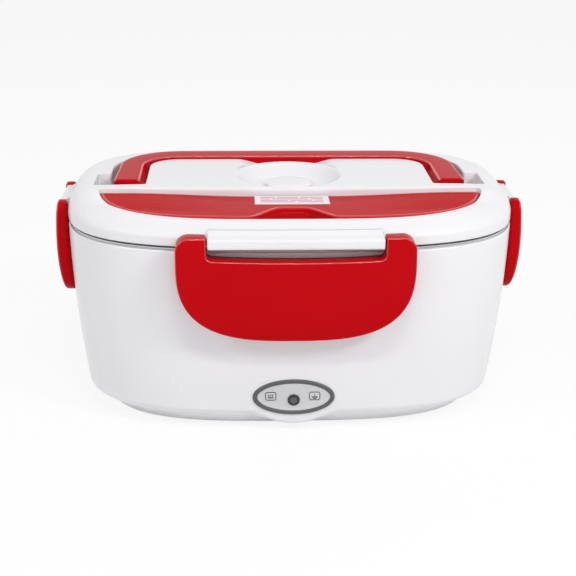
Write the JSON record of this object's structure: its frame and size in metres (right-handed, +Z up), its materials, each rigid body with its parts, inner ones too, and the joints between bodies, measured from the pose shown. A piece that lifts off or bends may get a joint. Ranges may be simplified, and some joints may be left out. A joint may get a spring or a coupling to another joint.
{
  "type": "electric lunch box",
  "caption": "Electric lunch box: steel container in a heated oval base, lift-off lid with snap latches, folding carry handle, spoon compartment and steam vent",
  "frame": {"origin": "on the table under the centre of the overall box", "axes": "+X along the length to the right seen from the lamp side, +Y from the lamp side to the inlet side, +Z up"},
  "size_m": [0.24, 0.1804, 0.1154],
  "materials": {
    "white_plastic": "gloss, moulded",
    "grey_white_plastic": "fine satin, moulded",
    "red_plastic": "gloss, moulded",
    "stainless_steel": "brushed",
    "aluminium_plate": "plain sheet",
    "silicone": "soft matte",
    "black_plastic": "fine matte",
    "dark_grey_plastic": "satin",
    "silver_plate": "satin metallic",
    "lamp_glass": "smoked, polished",
    "led_glass": "clear red",
    "brass_pins": "bright",
    "screw_steel": "zinc plated",
    "board_green": "lacquered",
    "wire_sleeve": "silicone sleeve",
    "foot_rubber": "soft matte"
  },
  "bodies": {
    "base": {"base_shell": "white_plastic", "inner_bucket": "white_plastic", "heating_plate": "aluminium_plate", "plate_seal": "silicone", "ptc_heater": "aluminium_plate", "heater_clamp": "stainless_steel", "clamp_screws": "screw_steel", "thermostat": "black_plastic", "thermal_fuse": "screw_steel", "inner_wires": "wire_sleeve", "led_board": "board_green", "indicator_led": "led_glass", "lamp_bezel": "dark_grey_plastic", "lamp_plate": "silver_plate", "lamp_lens": "lamp_glass", "inlet_socket": "black_plastic", "inlet_pins": "brass_pins", "bottom_cover": "grey_white_plastic", "cover_screws": "screw_steel", "rubber_feet": "foot_rubber"},
    "liner": {"steel_liner": "stainless_steel"},
    "lid": {"lid_shell": "white_plastic", "lid_inner": "white_plastic", "lid_gasket": "silicone"},
    "vent": {"vent_plug": "white_plastic", "vent_seal": "silicone"},
    "handle": {"carry_handle": "red_plastic"},
    "spoon_lid": {"spoon_cover": "red_plastic"},
    "front_latch": {"latch_front": "red_plastic"},
    "rear_latch": {"latch_rear": "red_plastic"},
    "left_latch": {"latch_left": "red_plastic"},
    "right_latch": {"latch_right": "red_plastic"}
  },
  "joints": [
    {"name": "liner_lift", "type": "slide", "parent": "base", "child": "liner", "axis": [0, 0, 1], "range_m": [0, 0.33]},
    {"name": "lid_lift", "type": "slide", "parent": "liner", "child": "lid", "axis": [0, 0, 1], "range_m": [0, 0.36]},
    {"name": "vent_lift", "type": "slide", "parent": "lid", "child": "vent", "axis": [0, 0, 1], "range_m": [0, 0.008]},
    {"name": "handle_swing", "type": "hinge", "parent": "lid", "child": "handle", "pos_m": [0, -0.01, 0.111], "axis": [1, 0, 0], "range_deg": [0, 95]},
    {"name": "spoon_cover_lift", "type": "slide", "parent": "lid", "child": "spoon_lid", "axis": [0, 0, 1], "range_m": [0, 0.06]},
    {"name": "front_latch_swing", "type": "hinge", "parent": "lid", "child": "front_latch", "pos_m": [0, -0.08564, 0.1036], "axis": [-1, 0, 0], "range_deg": [0, 110]},
    {"name": "rear_latch_swing", "type": "hinge", "parent": "lid", "child": "rear_latch", "pos_m": [0, 0.08564, 0.1036], "axis": [1, 0, 0], "range_deg": [0, 110]},
    {"name": "left_latch_swing", "type": "hinge", "parent": "lid", "child": "left_latch", "pos_m": [-0.11721, 0, 0.1036], "axis": [0, 1, 0], "range_deg": [0, 110]},
    {"name": "right_latch_swing", "type": "hinge", "parent": "lid", "child": "right_latch", "pos_m": [0.11721, 0, 0.1036], "axis": [0, -1, 0], "range_deg": [0, 110]}
  ]
}
